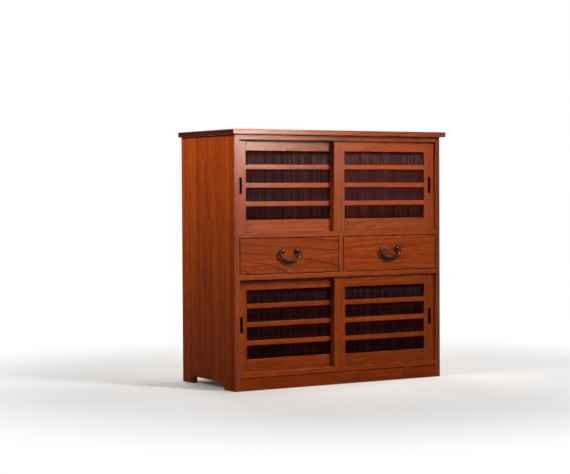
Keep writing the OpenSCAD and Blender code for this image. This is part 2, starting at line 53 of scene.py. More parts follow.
# Colours
def srgb(red, green, blue):
    """Linear colour of an sRGB one whose parts run from 0 to 255."""
    def linear(value):
        value /= 255
        return value / 12.92 if value <= 0.04045 else ((value + 0.055) / 1.055) ** 2.4
    return (linear(red), linear(green), linear(blue), 1.0)


WHITE = (1.0, 1.0, 1.0, 1.0)
# The worn colour of each palette pales the bevels, partly as wear and partly as a painted
# highlight
STAINED = {
    "light": srgb(168, 71, 8),
    "red": srgb(128, 44, 4),
    "late": srgb(74, 21, 4),
    "pore": srgb(48, 14, 4),
    "end": srgb(58, 13, 4),
    "worn": srgb(196, 108, 56),
}
PALE = {
    "light": srgb(214, 186, 142),
    "red": srgb(198, 164, 116),
    "late": srgb(168, 124, 78),
    "pore": srgb(140, 102, 66),
    "end": srgb(170, 134, 92),
    "worn": srgb(224, 200, 160),
}


# Shader graphs
class Graph:
    """Adds shader nodes to a new material or world and links them as they are made."""

    # Numbers of the colour sockets of a Mix node, whose names aren't unique
    MIX_AMOUNT, MIX_FIRST, MIX_SECOND, MIX_RESULT = 0, 6, 7, 2

    def __init__(self, owner):
        owner.use_nodes = True
        self.owner = owner
        self.tree = owner.node_tree
        self.tree.nodes.clear()

    def join(self, value, socket):
        """Links a socket, or sets a plain value."""
        if isinstance(value, bpy.types.NodeSocket):
            self.tree.links.new(value, socket)
        else:
            socket.default_value = value

    def add(self, kind, sockets=None, **settings):
        """A new node with its settings and inputs."""
        node = self.tree.nodes.new("ShaderNode" + kind)
        for key, value in settings.items():
            setattr(node, key, value)
        for key, value in (sockets or {}).items():
            self.join(value, node.inputs[key])
        return node

    def math(self, operation, *values, clamp=False):
        """Result of a Math node."""
        node = self.add("Math", dict(enumerate(values)), operation=operation, use_clamp=clamp)
        return node.outputs[0]

    def vector(self, operation, *values):
        """Result of a Vector Math node that returns a vector."""
        node = self.add("VectorMath", dict(enumerate(values)), operation=operation)
        return node.outputs["Vector"]

    def parts(self, vector):
        """The three parts of a vector."""
        return self.add("SeparateXYZ", {"Vector": vector}).outputs

    def noise(self, place, stretch, detail=2.0, roughness=0.5):
        """Noise from 0 to 1 at a place that is first stretched by three factors."""
        node = self.add("TexNoise", {
            "Vector": self.vector("MULTIPLY", place, stretch),
            "Scale": 1.0, "Detail": detail, "Roughness": roughness,
        })
        return node.outputs["Fac"]

    def sway(self, place, stretch, detail=2.0):
        """Noise from -0.5 to 0.5."""
        return self.math("SUBTRACT", self.noise(place, stretch, detail), 0.5)

    def chance(self, value):
        """Random number from 0 to 1 that stays the same for the same value."""
        return self.add("TexWhiteNoise", {"W": value}, noise_dimensions="1D").outputs["Value"]

    def steps(self, value, low, high, start=0.0, end=1.0):
        """Smooth change from start to end while value goes from low to high."""
        node = self.add("MapRange", {
            "Value": value, "From Min": low, "From Max": high, "To Min": start, "To Max": end,
        }, interpolation_type="SMOOTHSTEP")
        return node.outputs["Result"]

    def ramp(self, value, stops):
        """Grey value of a colour ramp given as (place, brightness) stops."""
        node = self.add("ValToRGB", {"Fac": value})
        elements = node.color_ramp.elements
        while len(elements) < len(stops):
            elements.new(0.5)
        for element, (place, level) in zip(elements, stops):
            element.position = place
            element.color = (level, level, level, 1.0)
        return node.outputs["Color"]

    def mix(self, amount, first, second, blend="MIX"):
        """Mix of two colours."""
        node = self.add("Mix", data_type="RGBA", blend_type=blend)
        self.join(amount, node.inputs[self.MIX_AMOUNT])
        self.join(first, node.inputs[self.MIX_FIRST])
        self.join(second, node.inputs[self.MIX_SECOND])
        return node.outputs[self.MIX_RESULT]

    def brighten(self, level, colour):
        """Colour multiplied by a level."""
        grey = self.add("CombineColor", {0: level, 1: level, 2: level}).outputs[0]
        return self.mix(1.0, colour, grey, "MULTIPLY")

    def facing(self, normal, axis):
        """1 on faces square to an axis, and 0 on the others."""
        part = self.parts(normal)[AXES[axis]]
        return self.steps(self.math("ABSOLUTE", part), 0.75, 0.95)

    def edges(self, normal):
        """1 on bevels and 0 on faces along the axes, from the two largest parts of the normal."""
        parts = self.parts(self.vector("ABSOLUTE", normal))
        low = self.math("MINIMUM", parts[0], parts[1])
        high = self.math("MAXIMUM", parts[0], parts[1])
        second = self.math("MAXIMUM", low, self.math("MINIMUM", high, parts[2]))
        return self.steps(second, 0.12, 0.6)

    def surface(self, colour, roughness, height, strength, relief, finish):
        """The material, with its height as a bump and finish for the shader's other inputs."""
        bumped = self.add("Bump", {"Height": height, "Strength": strength, "Distance": relief})
        shader = self.add("BsdfPrincipled", {
            "Base Color": colour, "Roughness": roughness, "Normal": bumped.outputs["Normal"],
            **finish,
        })
        self.add("OutputMaterial", {"Surface": shader.outputs["BSDF"]})
        return self.owner


# Wood
# Waves per metre of its noises: along the grain, across it and through the board
SWAY_WAVES = (2.2, 1.0, 1.0)
WAVER_WAVES = (9.0, 34.0, 34.0)
BAND_WAVES = (0.9, 38.0, 38.0)
FIBRE_WAVES = (5.0, 120.0, 120.0)
FLECK_WAVES = (34.0, 330.0, 330.0)
PORE_WAVES = (130.0, 2600.0, 2600.0)
MOTTLE_WAVES = (16.0, 90.0, 90.0)
RUB_AND_HIGHLIGHT_WAVES = (30.0, 30.0, 30.0)

# Darkness from the start of a ring to its end, as (place, darkness) stops
RING = ((0.0, 0.0), (0.5, 0.08), (0.82, 0.55), (0.93, 1.0), (1.0, 0.0))
BOLD_RING = ((0.0, 0.0), (0.55, 0.05), (0.84, 0.35), (0.92, 1.0), (0.97, 0.8), (1.0, 0.0))
FAINT_RING = ((0.3, 0.0), (0.9, 0.25), (1.0, 0.0))
WEAKEST_RING, WEAKEST_BOLD_RING = 0.15, 0.75

# Metres of log that boards come from, and how far glued ones lie apart along and across it
LOG_LENGTH = 9.0
GLUED_SHIFT, GLUED_TURN = 3.7, 0.2

# Share of the pore colour in flecks, pores, and glue lines with painted shade in gaps between
# parts
FLECK_SHARE, PORE_SHARE, SEAM_SHARE = 0.32, 0.35, 0.8

# Roughness of the wood and its lacquer, and what fibres, pores and end grain add to it
PLAIN_ROUGHNESS, COAT_ROUGHNESS = 0.17, 0.24
FIBRE_ROUGHNESS, PORE_ROUGHNESS, END_ROUGHNESS = 0.14, 0.04, 0.18
LACQUER_TINT = (1.0, 0.84, 0.7, 1.0)

# Height of fibres and rings and depth of pores, as shares of the wood's relief
FIBRE_HEIGHT, RING_HEIGHT, PORE_DEPTH = 0.45, 0.35, 0.35
RELIEF_STRENGTH, RELIEF = 0.35, 0.25 * MM


def glued_boards(graph, v, joints, shades, glue):
    """Number and brightness of the glued board at v, and 1 on the dark line beside it: a glue
    line, and painted shade where the joint is the edge of a part.
    """
    number, shade, seam = 0.0, shades[0] if shades else 1.0, 0.0
    for i, joint in enumerate(joints):
        past = graph.math("GREATER_THAN", v, joint)
        number = graph.math("ADD", number, past)
        if shades:
            shade = graph.math("MULTIPLY_ADD", past, shades[i + 1] - shades[i], shade)
        gap = graph.math("ABSOLUTE", graph.math("SUBTRACT", v, joint))
        seam = graph.math("ADD", seam, graph.steps(gap, glue / 3, glue, 1.0, 0.0))
    return number, shade, seam


def log_reach(graph, place, pith, slope, aside, widening):
    """Distance of a place in the board from the middle of the log.

    aside is how far the log swings sideways there, and widening what the squares of its
    radii have grown by.
    """
    u, v, w = place
    beside = graph.math("ADD", graph.math("ADD", v, pith[0]), aside)
    beside = graph.math("MULTIPLY_ADD", u, slope[0], beside)
    behind = graph.math("MULTIPLY_ADD", u, -slope[1], graph.math("ADD", w, pith[1]))
    square = graph.math("ADD", widening, graph.math("MULTIPLY", behind, behind))
    square = graph.math("MULTIPLY_ADD", beside, beside, square)
    return graph.math("SQRT", graph.math("MAXIMUM", square, 0.0))


def ring_lines(graph, rings, shift, faint, contrast):
    """Shape of the dark line at the end of each ring, and how dark the wood is with it."""
    line = graph.ramp(graph.math("FRACT", rings), BOLD_RING if faint else RING)
    chance = graph.chance(graph.math("ADD", graph.math("FLOOR", rings), shift))
    weakest = WEAKEST_BOLD_RING if faint else WEAKEST_RING
    strength = graph.steps(chance, 0.1, 1.0, weakest * contrast, contrast)
    late = graph.math("MULTIPLY", line, strength)
    if faint:
        within = graph.math("FRACT", graph.math("MULTIPLY", rings, faint))
        late = graph.math("MAXIMUM", late, graph.ramp(within, FAINT_RING))
    return line, late


def grain_colour(graph, grain, colours, stripes, late):
    """Colour with bands, fibres, rings and pores, the fibres, and how open the grain is."""
    bands = graph.noise(grain, BAND_WAVES, 3.0)
    fibres = graph.noise(grain, FIBRE_WAVES, 4.0, 0.7)
    flecks = graph.steps(graph.noise(grain, FLECK_WAVES, 1.0), 0.60, 0.72)
    pores = graph.steps(graph.noise(grain, PORE_WAVES, 1.0), 0.58, 0.70)
    share = graph.steps(bands, 0.3, 0.7, 0.45 - 0.5 * stripes, 0.45 + 0.5 * stripes)
    colour = graph.mix(share, colours["light"], colours["red"])
    colour = graph.mix(graph.steps(fibres, 0.35, 0.65, 0.0, 0.5), colour, colours["red"])
    colour = graph.mix(late, colour, colours["late"])
    open_grain = graph.math("ADD", graph.math("MULTIPLY", flecks, FLECK_SHARE),
                            graph.math("MULTIPLY", pores, PORE_SHARE), clamp=True)
    return graph.mix(open_grain, colour, colours["pore"]), fibres, open_grain


def wood(node, along, across, colours=STAINED, joints=(), shades=(), glue=1.2 * MM,
         pith=(0.16, 0.12), slope=(0.0, 0.01), opening=0.0, wander=8 * MM, ring=5.5 * MM,
         faint=0, contrast=0.6, stripes=0.6, tone=1.0, rub=0.5, gloss=0.19, edge_coat=0.0,
         edge_tone=1.0):
    """Wood for a board, cut from a round log, with its rings, fibres, pores and end grain.

    along and across name the axes of the board.
    joints are where narrower boards are glued together, measured across from the middle,
    shades how bright these boards are, and glue the width of the dark line on each
    joint: a glue line, which a wide setting turns into painted shade in the gap where two parts
    meet.
    pith is how far the middle of the log lies beside and before the middle of the board,
    slope how it drifts along the grain, and wander how far it sways and the rings waver.
    opening is how far the square of a ring's radius grows from its start along the grain.
    ring is the width of a ring, faint the number of faint rings in it if there are any, and
    contrast how dark the rings are.
    stripes is the difference between broad light and red bands, and tone the brightness.
    rub is how much paler the bevels are, from wear and a painted highlight,
    and gloss how much the faces shine.
    edge_coat is the lacquer on the long narrow faces of the board, and edge_tone how
    bright these are painted: a painted shade that darkens them.
    """
    rng = random.Random(node)
    graph = Graph(bpy.data.materials.new("wood_" + node))
    low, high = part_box(node)
    middle = (low + high) / 2
    coordinates = graph.add("TexCoord").outputs
    normal = coordinates["Normal"]
    xyz = graph.parts(coordinates["Object"])
    through = next(axis for axis in AXES if axis not in (along, across))
    u, v, w = (
        graph.math("SUBTRACT", xyz[AXES[axis]], middle[AXES[axis]])
        for axis in (along, across, through)
    )
    number, shade, seam = glued_boards(graph, v, joints, shades, glue)
    shift = graph.math("MULTIPLY_ADD", number, GLUED_SHIFT, rng.uniform(0, LOG_LENGTH))
    grain = graph.add("CombineXYZ", {"X": graph.math("ADD", u, shift), "Y": v, "Z": w}).outputs[0]

    # Rings of the log, cut by the board
    turn = graph.math("SUBTRACT", graph.chance(shift), 0.5)
    turn = graph.math("MULTIPLY", turn, GLUED_TURN if joints else 0.0)
    sway = graph.sway(grain, SWAY_WAVES, 1.0)
    aside = graph.math("MULTIPLY_ADD", sway, 5 * wander, turn)
    start = (low - middle)[AXES[along]]
    widening = graph.math("MULTIPLY", graph.math("SUBTRACT", u, start), opening)
    reach = log_reach(graph, (u, v, w), pith, slope, aside, widening)
    waver = graph.sway(grain, WAVER_WAVES)
    rings = graph.math("DIVIDE", graph.math("MULTIPLY_ADD", waver, 0.9 * wander, reach), ring)
    line, late = ring_lines(graph, rings, shift, faint, contrast)
    colour, fibres, open_grain = grain_colour(graph, grain, colours, stripes, late)

    # End grain, bevels paled by wear and a painted highlight, and glue lines, widened into
    # painted shade where two parts meet
    ends = graph.facing(normal, along)
    dark_end = graph.mix(graph.math("MULTIPLY", line, 0.5), colours["end"], colours["pore"])
    colour = graph.mix(ends, colour, dark_end)
    # Bevels turn paler: partly wear, partly a painted highlight along the edges
    patches = graph.steps(graph.noise(grain, RUB_AND_HIGHLIGHT_WAVES), 0.3, 0.7, 0.2 * rub, rub)
    rubbed = graph.math("MULTIPLY", graph.edges(normal), patches)
    colour = graph.mix(rubbed, colour, colours["worn"])
    # Dark glue lines, widened at some joints into painted shade in the gap between parts
    colour = graph.mix(graph.math("MULTIPLY", seam, SEAM_SHARE), colour, colours["pore"])

    # Brightness of each glued board, with its mottle
    level = graph.steps(graph.chance(shift), 0.0, 1.0, 0.9 * tone, 1.1 * tone)
    mottle = graph.steps(graph.noise(grain, MOTTLE_WAVES, 3.0), 0.3, 0.7, 0.88, 1.12)
    level = graph.math("MULTIPLY", level, mottle)
    colour = graph.brighten(graph.math("MULTIPLY", level, shade), colour)

    # Relief and lacquer
    roughness = graph.math("MULTIPLY_ADD", fibres, FIBRE_ROUGHNESS, PLAIN_ROUGHNESS)
    roughness = graph.math("MULTIPLY_ADD", open_grain, PORE_ROUGHNESS, roughness)
    roughness = graph.math("MULTIPLY_ADD", ends, END_ROUGHNESS, roughness, clamp=True)
    raised = graph.math("MULTIPLY", fibres, FIBRE_HEIGHT)
    raised = graph.math("MULTIPLY_ADD", late, RING_HEIGHT, raised)
    sunk = graph.math("MULTIPLY_ADD", open_grain, PORE_DEPTH, seam)
    height = graph.math("SUBTRACT", raised, sunk)
    finish = {"Specular IOR Level": gloss, "Specular Tint": LACQUER_TINT}
    if edge_coat:
        narrow = graph.facing(normal, across)
        # The long narrow faces are painted darker: a painted shade, not a colour of the wood
        colour = graph.brighten(graph.math("MULTIPLY_ADD", narrow, edge_tone - 1.0, 1.0), colour)
        finish["Coat Weight"] = graph.math("MULTIPLY", narrow, edge_coat)
        finish["Coat Roughness"] = COAT_ROUGHNESS
    return graph.surface(colour, roughness, height, RELIEF_STRENGTH, RELIEF, finish)


# Reeds, cloth and iron
REED_TINT = (1.0, 0.8, 0.8, 1.0)
IRON_TINT = (0.2, 0.16, 0.14, 1.0)
TEXTILE_FINISH = {"Specular IOR Level": 0.1}
WEAVE = 1.1 * MM


def reed_material(name, light, gloss):
    """Dried reeds, each in a tone of its own, with dark patches and long fibres."""
    graph = Graph(bpy.data.materials.new(name))
    place = graph.add("TexCoord").outputs["Object"]
    tone = graph.add("Attribute", attribute_name="tone").outputs["Fac"]
    streaks = graph.noise(place, (900.0, 900.0, 24.0), 3.0)
    patches = graph.noise(place, (60.0, 60.0, 12.0), 2.0)
    colour = graph.mix(tone, srgb(26, 6, 4), light)
    colour = graph.mix(graph.steps(patches, 0.45, 0.75, 0.0, 0.4), colour, srgb(40, 12, 8))
    colour = graph.mix(graph.steps(streaks, 0.5, 0.75, 0.0, 0.5), colour, srgb(16, 4, 2))
    roughness = graph.math("MULTIPLY_ADD", streaks, 0.2, 0.34)
    finish = {"Specular IOR Level": gloss, "Specular Tint": REED_TINT}
    return graph.surface(colour, roughness, streaks, 0.4, 0.15 * MM, finish)


def thread_material():
    """Faded cotton thread."""
    graph = Graph(bpy.data.materials.new("thread"))
    place = graph.add("TexCoord").outputs["Object"]
    strands = graph.noise(place, (1400.0, 600.0, 2200.0), 2.0)
    colour = graph.mix(strands, srgb(58, 40, 35), srgb(96, 74, 65))
    return graph.surface(colour, 0.85, strands, 0.5, 0.1 * MM, TEXTILE_FINISH)


def cloth_material():
    """Dark woven backing behind the reeds."""
    graph = Graph(bpy.data.materials.new("backing_cloth"))
    x, _, z = graph.parts(graph.add("TexCoord").outputs["Object"])
    warp, weft = (
        graph.math("SINE", graph.math("MULTIPLY", part, 2 * math.pi / WEAVE)) for part in (x, z)
    )
    weave = graph.math("MULTIPLY", warp, weft)
    colour = graph.mix(graph.steps(weave, -1.0, 1.0), srgb(24, 14, 12), srgb(44, 28, 25))
    return graph.surface(colour, 0.92, weave, 0.5, 0.15 * MM, TEXTILE_FINISH)


def iron_material(name, dents, base, rubbed, roughness):
    """Blackened iron with hammer dents, and paler where hands rub it."""
    graph = Graph(bpy.data.materials.new(name))
    place = graph.add("TexCoord").outputs["Object"]
    cells = graph.add("TexVoronoi", {"Vector": place, "Scale": 260.0, "Smoothness": 0.8},
                      feature="SMOOTH_F1").outputs["Distance"]
    scale = graph.noise(place, (420.0, 420.0, 420.0), 4.0, 0.65)
    worn = graph.noise(place, (95.0, 95.0, 95.0), 3.0, 0.6)
    colour = graph.mix(graph.steps(worn, 0.5, 0.8, 0.0, 0.5), base, rubbed)
    height = graph.math("MULTIPLY_ADD", scale, 0.35, graph.math("MULTIPLY", cells, dents))
    roughness = graph.math("MULTIPLY_ADD", scale, 0.24, roughness)
    finish = {"Metallic": 1.0, "Specular Tint": IRON_TINT}
    return graph.surface(colour, roughness, height, 0.5, 0.4 * MM, finish)


# Dressing of the frame's own pieces
def dress(node, material, bevel):
    """Gives a CAD node its material and softens its sharp edges."""
    piece = nodes[node]
    for slot in piece.material_slots:
        slot.material = material
    if bevel:
        weld = piece.modifiers.new("weld", "WELD")
        weld.merge_threshold = 0.001 * MM
        soft = piece.modifiers.new("soft_edges", "BEVEL")
        soft.width = bevel
        soft.segments = 2
        soft.limit_method = "ANGLE"
        soft.angle_limit = math.radians(25)
        soft.harden_normals = True


def dress_board(node, along, across, colours=STAINED, bevel=0.5 * MM, **looks):
    """Gives a board its wood and softens its edges."""
    dress(node, wood(node, along, across, colours, **looks), bevel)


def dress_case():
    """Boards and rails of the case."""
    dress_board("top_board", "X", "Y", joints=(-0.072, 0.069), pith=(0.01, 0.09),
                slope=(0.0, 0.06), ring=8 * MM, contrast=0.7, tone=1.05, gloss=0.015,
                edge_coat=0.34)
    for side in ("left_side", "right_side"):
        # The front edges of the sides get a painted shade that darkens them
        dress_board(side, "Z", "Y", joints=(-0.085, 0.081), shades=(0.92, 1.03, 1.12),
                    pith=(0.05, 0.14), slope=(0.01, 0.03), ring=9 * MM, contrast=0.4,
                    stripes=0.8, wander=10 * MM, gloss=0.01, edge_coat=0.37, edge_tone=0.84)
    rails = {"pith": (0.03, 0.10), "slope": (0.0, 0.03), "ring": 6 * MM}
    dress_board("top_rail", "X", "Z", **rails)
    dress_board("middle_rail", "X", "Z", **rails)
    # Sill and base rails pale their bevels fully: wear, and a painted highlight along their edges
    dress_board("sill_rail", "X", "Z", bevel=0.9 * MM, rub=1.0, tone=0.88, **rails)
    # Base rail and kick board are toned darker than the rails above: painted shade towards the
    # floor
    dress_board("base_rail", "X", "Z", bevel=1.4 * MM, rub=1.0, tone=0.94, gloss=0.08,
                joints=(-10 * MM,), glue=3.0 * MM, **rails)
    # Base rail and kick board each darken a wide band where they meet: painted shade in the gap
    dress_board("kick_board", "X", "Z", bevel=0.9 * MM, rub=0.1, tone=0.9, gloss=0.08,
                joints=(23 * MM,), glue=3.6 * MM, **rails)
    dress_board("drawer_divider", "Z", "X")
    for shelf in ("upper_floor", "drawer_floor", "bottom_board", "upper_shelf", "lower_shelf"):
        dress_board(shelf, "X", "Y", PALE, joints=(-0.06, 0.06), pith=(0.01, 0.1),
                    slope=(0.0, 0.05), ring=7 * MM, contrast=0.45)
    dress_board("back_panel", "Z", "X", PALE, pith=(0.02, 0.3), slope=(0.0, 0.16),
                ring=14 * MM, contrast=0.5, stripes=0.3, wander=16 * MM)
    dress_board("back_rails", "X", "Z", PALE, contrast=0.4)
    dress_board("shelf_cleats", "Y", "Z", PALE, contrast=0.4)


def dress_doors():
    """Frames, slats and pulls of the four doors."""
    black = iron_material("black_metal", 0.15, srgb(18, 15, 14), srgb(34, 28, 25), 0.3)
    for door in DOORS:
        # Lower doors are toned a little darker than the upper ones: a painted shade towards the
        # bottom
        gloss, tone = (0.27, 1.0) if door.startswith("upper") else (0.12, 0.95)
        for stile in ("_left_stile", "_right_stile"):
            dress_board(door + stile, "Z", "X", ring=4.5 * MM, contrast=0.55, tone=tone,
                        gloss=gloss)
        for rail in ("_top_rail", "_bottom_rail"):
            dress_board(door + rail, "X", "Z", pith=(0.02, 0.07), slope=(0.02, 0.05),
                        ring=6 * MM, tone=tone, gloss=gloss)
        dress_board(door + "_slats", "X", "Z", bevel=1.0 * MM, joints=(-0.034, 0.034),
                    pith=(0.2, 0.1), ring=4.5 * MM, contrast=0.45, tone=1.05, gloss=gloss)
        dress(door + "_pull", black, 0.15 * MM)


def dress_drawers():
    """Fronts, boxes and handle posts of the two drawers."""
    polished = iron_material("polished_iron", 0.1, srgb(44, 40, 37), srgb(64, 57, 52), 0.2)
    figures = {
        "left_drawer": {"pith": (0.0663, 0.0), "opening": 0.0157, "ring": 29.2 * MM, "faint": 4,
                        "contrast": 1.0},
        "right_drawer": {"pith": (-0.0065, 0.0), "opening": -0.003, "ring": 20.7 * MM, "faint": 3,
                         "contrast": 0.8},
    }
    for drawer in DRAWERS:
        dress_board(drawer + "_front", "X", "Z", bevel=0.0, slope=(0.0, 0.0), wander=3.5 * MM,
                    gloss=0.14, **figures[drawer])
        for side in ("_left_side", "_right_side"):
            dress_board(drawer + side, "Y", "Z", PALE, contrast=0.45)
        dress_board(drawer + "_back", "X", "Z", PALE, contrast=0.45)
        dress_board(drawer + "_bottom", "X", "Y", PALE, pith=(0.02, 0.2), slope=(0.0, 0.1),
                    ring=12 * MM, contrast=0.4)
        dress(drawer + "_handle_posts", polished, 0.0)


# Pieces
def add_piece(name, points, faces, material, body):
    """A new mesh that rides on a body and carries the material it is given.

    Its four-sided faces are smooth, and the caps of its tubes are flat.
    """
    mesh = bpy.data.meshes.new(name)
    mesh.from_pydata(points, [], faces)
    mesh.update()
    mesh.materials.append(material)
    mesh.polygons.foreach_set("use_smooth", [len(face) == 4 for face in faces])
    piece = bpy.data.objects.new(name, mesh)
    bpy.context.scene.collection.objects.link(piece)
    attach(piece, body)
    return piece


def circle(sides):
    """Cosine and sine of equal steps round a circle."""
    angles = [2 * math.pi * k / sides for k in range(sides)]
    return [(math.cos(angle), math.sin(angle)) for angle in angles]


def tube_faces(rings, sides, start=0):
    """Faces of a tube of rings of points, closed at both ends."""
    faces = [tuple(start + k for k in reversed(range(sides)))]
    for i in range(rings - 1):
        for k in range(sides):
            near, far = start + i * sides, start + (i + 1) * sides
            after = (k + 1) % sides
            faces.append((near + k, near + after, far + after, far + k))
    faces.append(tuple(start + (rings - 1) * sides + k for k in range(sides)))
    return faces


# Reed screens
REED_PITCH, REED_SIDES = 3.1 * MM, 8

# Share of its radius that a reed has along its stem and on its knots, and where these are
STEM, KNOT = 0.97, 1.05
KNOT_SPACING, KNOT_HALF, KNOT_MARGIN = 95 * MM, 2 * MM, 4 * MM

# Share of pale reeds, and how much paler the reeds of each door are painted: painted light on the
# upper right door, painted shade on the lower doors
PALE_REEDS = 0.22
DOOR_REED_LIGHT_AND_SHADE = {"upper_left_door": 0.0, "upper_right_door": 0.3,
          "lower_left_door": -0.15, "lower_right_door": -0.1}

# Faces of the cloth before the back of the screen, and levels of the threads above its foot
CLOTH_FRONT, CLOTH_BACK = 0.6 * MM, 0.1 * MM
CLOTH_COLUMNS, CLOTH_ROWS = 24, 16
RIPPLE_WAVES, RIPPLE_HEIGHT = 18, 0.1 * MM
THREAD_RADIUS, THREAD_SIDES, THREAD_STEPS = 0.28 * MM, 5, 3
THREAD_LEVELS = tuple((20 + 31 * k) * MM for k in range(8))


def reed_profile(rng, foot, head):
    """Levels of a reed and its thickness there, which grows a little at each knot."""
    profile = [(foot, STEM)]
    knot = foot + rng.uniform(0, KNOT_SPACING)
    while knot < head - KNOT_MARGIN:
        if knot > foot + KNOT_MARGIN:
            profile += [(knot - KNOT_HALF, STEM), (knot, KNOT), (knot + KNOT_HALF, STEM)]
        knot += KNOT_SPACING * rng.uniform(0.8, 1.2)
    profile.append((head, STEM))
    return profile


def reed_screen(door, material):
    """Round reeds side by side, of uneven thickness and tone, each a little crooked."""
    rng = random.Random(door)
    low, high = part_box(door + "_reeds")
    count = round((high.x - low.x) / REED_PITCH)
    pitch = (high.x - low.x) / count
    middle = low.y + pitch / 2
    points, faces, tones = [], [], []
    for i in range(count):
        radius = pitch * rng.uniform(0.45, 0.5)
        pale = rng.random() < PALE_REEDS
        tone = rng.uniform(0.5, 0.85) if pale else rng.uniform(0.0, 0.45)
        # Each door's reeds are shifted paler or darker as painted light and shade
        tone = min(1.0, max(0.0, tone + DOOR_REED_LIGHT_AND_SHADE[door]))
        profile = reed_profile(rng, low.z, high.z)
        lean, bow = rng.uniform(-0.1, 0.1) * MM, rng.uniform(-0.06, 0.06) * MM
        start = len(points)
        for level, thickness in profile:
            t = (level - low.z) / (high.z - low.z)
            x = low.x + (i + 0.5) * pitch + lean * (t - 0.5) + bow * math.sin(math.pi * t)
            size = min(radius * thickness, pitch / 2)
            points += [(x + size * cos, middle + size * sin, level)
                       for cos, sin in circle(REED_SIDES)]
        faces += tube_faces(len(profile), REED_SIDES, start)
        tones += [tone] * (len(points) - start)
    reeds = add_piece(door + "_reed_screen", points, faces, material, door)
    attribute = reeds.data.attributes.new("tone", "FLOAT", "POINT")
    attribute.data.foreach_set("value", tones)
    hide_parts(door + "_reeds")
    return low, high, pitch, count


def backing_cloth(door, material, low, high):
    """Cloth behind the reeds, rippled a little."""
    across = CLOTH_COLUMNS + 1
    points = []
    for layer in (high.y - CLOTH_FRONT, high.y - CLOTH_BACK):
        for j in range(CLOTH_ROWS + 1):
            for i in range(across):
                x = low.x + (high.x - low.x) * i / CLOTH_COLUMNS
                z = low.z + (high.z - low.z) * j / CLOTH_ROWS
                place = Vector((x * RIPPLE_WAVES, layer, z * RIPPLE_WAVES))
                ripple = noise.noise(place) * RIPPLE_HEIGHT
                points.append((x, layer - RIPPLE_HEIGHT + ripple, z))
    layer_size = across * (CLOTH_ROWS + 1)
    faces = []
    for j in range(CLOTH_ROWS):
        for i in range(CLOTH_COLUMNS):
            a = j * across + i
            b, c, d = a + 1, a + across + 1, a + across
            faces.append((a, b, c, d))
            faces.append((layer_size + d, layer_size + c, layer_size + b, layer_size + a))
    rim = list(range(CLOTH_COLUMNS))
    rim += [j * across + CLOTH_COLUMNS for j in range(CLOTH_ROWS)]
    rim += [CLOTH_ROWS * across + i for i in range(CLOTH_COLUMNS, 0, -1)]
    rim += [j * across for j in range(CLOTH_ROWS, 0, -1)]
    for a, b in zip(rim, rim[1:] + rim[:1]):
        faces.append((b, a, layer_size + a, layer_size + b))
    add_piece(door + "_backing_cloth", points, faces, material, door)


def binding_threads(door, material, low, pitch, count):
    """Pairs of threads that twine round the reeds, in steps from reed to reed."""
    rings = count * THREAD_STEPS + 1
    middle = low.y + pitch / 2
    points, faces = [], []
    for level in THREAD_LEVELS:
        for turn in (1, -1):
            start = len(points)
            for n in range(rings):
                phase = math.pi * n / THREAD_STEPS
                x = low.x + pitch * n / THREAD_STEPS
                y = middle - turn * (pitch / 2 + THREAD_RADIUS) * math.sin(phase)
                z = low.z + level + turn * 0.4 * THREAD_RADIUS * math.cos(phase)
                points += [(x, y + THREAD_RADIUS * sin, z + THREAD_RADIUS * cos)
                           for cos, sin in circle(THREAD_SIDES)]
            faces += tube_faces(rings, THREAD_SIDES, start)
    add_piece(door + "_threads", points, faces, material, door)


def build_screens():
    """Reeds, cloth and threads of the four doors."""
    # The upper doors' reeds are a lighter copy and the lower doors' a darker one: painted light
    # and shade
    reeds = {
        "upper": reed_material("upper_reed_painted_light", srgb(84, 31, 27), 0.06),
        "lower": reed_material("lower_reed_painted_shade", srgb(64, 21, 16), 0.02),
    }
    thread, cloth = thread_material(), cloth_material()
    for door in DOORS:
        row = door.split("_")[0]
        low, high, pitch, count = reed_screen(door, reeds[row])
        backing_cloth(door, cloth, low, high)
        binding_threads(door, thread, low, pitch, count)


# Bail handles, in the sizes of the frame
BAIL_PIVOTS = {
    "left_drawer": Vector((-228, -206.625, 502)) * MM,
    "right_drawer": Vector((216, -206.625, 502)) * MM,
}

# Curve of half a bail: its half width and drop, and the two points that draw it outwards
BAIL_HALF, BAIL_DROP = 39 * MM, 38.5 * MM
BAIL_LEAVING, BAIL_CORNER = (58 * MM, -18 * MM), 26 * MM

# Half thickness of the bar at its pins, and half its height and depth in the middle
BAIL_END, BAIL_MIDDLE_HEIGHT, BAIL_MIDDLE_DEPTH = 3.1 * MM, 6.3 * MM, 4.4 * MM
BAIL_STEPS, BAIL_SIDES = 28, 20
DENT_WAVES, DENT_DEPTH, DENT_SETBACK = 210, 0.22 * MM, 0.1 * MM
PIN_RADIUS, PIN_START, PIN_OVERLAP = 2.5 * MM, 30 * MM, 2 * MM


def bail_point(t):
    """Middle line of half a bail in its own plane, from the pin at 0 to the middle at 1."""
    early, late = 3 * (1 - t) ** 2 * t, 3 * (1 - t) * t * t
    x = (1 - t) ** 3 * BAIL_HALF + early * BAIL_LEAVING[0] + late * BAIL_CORNER
    z = early * BAIL_LEAVING[1] - (late + t ** 3) * BAIL_DROP
    return Vector((x, 0, z))


def bail_direction(t):
    """Direction of the middle line at t, which is level in the middle of the bail."""
    if t == 1.0:
        return Vector((-1, 0, 0))
    return (bail_point(min(t + 0.01, 1.0)) - bail_point(max(t - 0.01, 0.0))).normalized()


